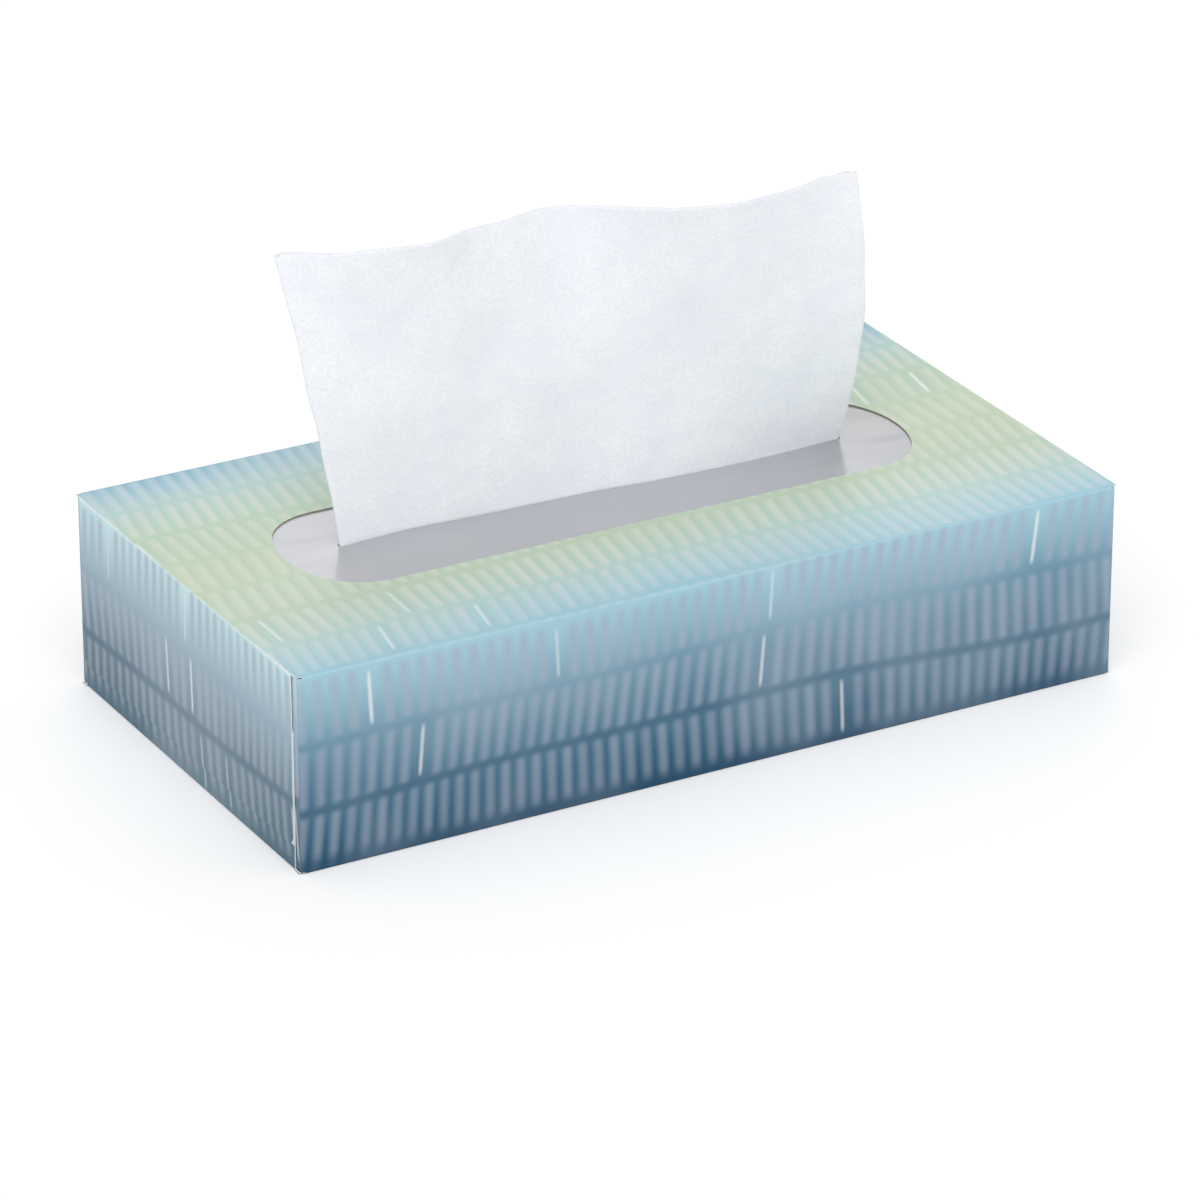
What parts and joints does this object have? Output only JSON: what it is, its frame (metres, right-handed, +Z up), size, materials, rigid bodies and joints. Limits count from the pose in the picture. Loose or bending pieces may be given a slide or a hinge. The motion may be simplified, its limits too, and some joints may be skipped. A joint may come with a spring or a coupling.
{
  "type": "tissue box",
  "caption": "Flat printed carton of facial tissues with an oval film window, a slit in it and one sheet standing ready to be pulled.",
  "frame": {"origin": "middle of the carton's base, at the surface that it rests on", "axes": "+X along the carton's length, to the right seen from the front; the front panel faces -Y; +Z up, out of the dispensing opening"},
  "size_m": [0.23, 0.122, 0.1255],
  "materials": {
    "printed_board": "printed, satin varnish",
    "window_film": "milky glossy film",
    "tissue_paper": "soft creped"
  },
  "bodies": {
    "root": {"carton": "printed_board", "film_window": "window_film", "tissue_stack": "tissue_paper", "top_tissue": "tissue_paper"}
  },
  "joints": []
}
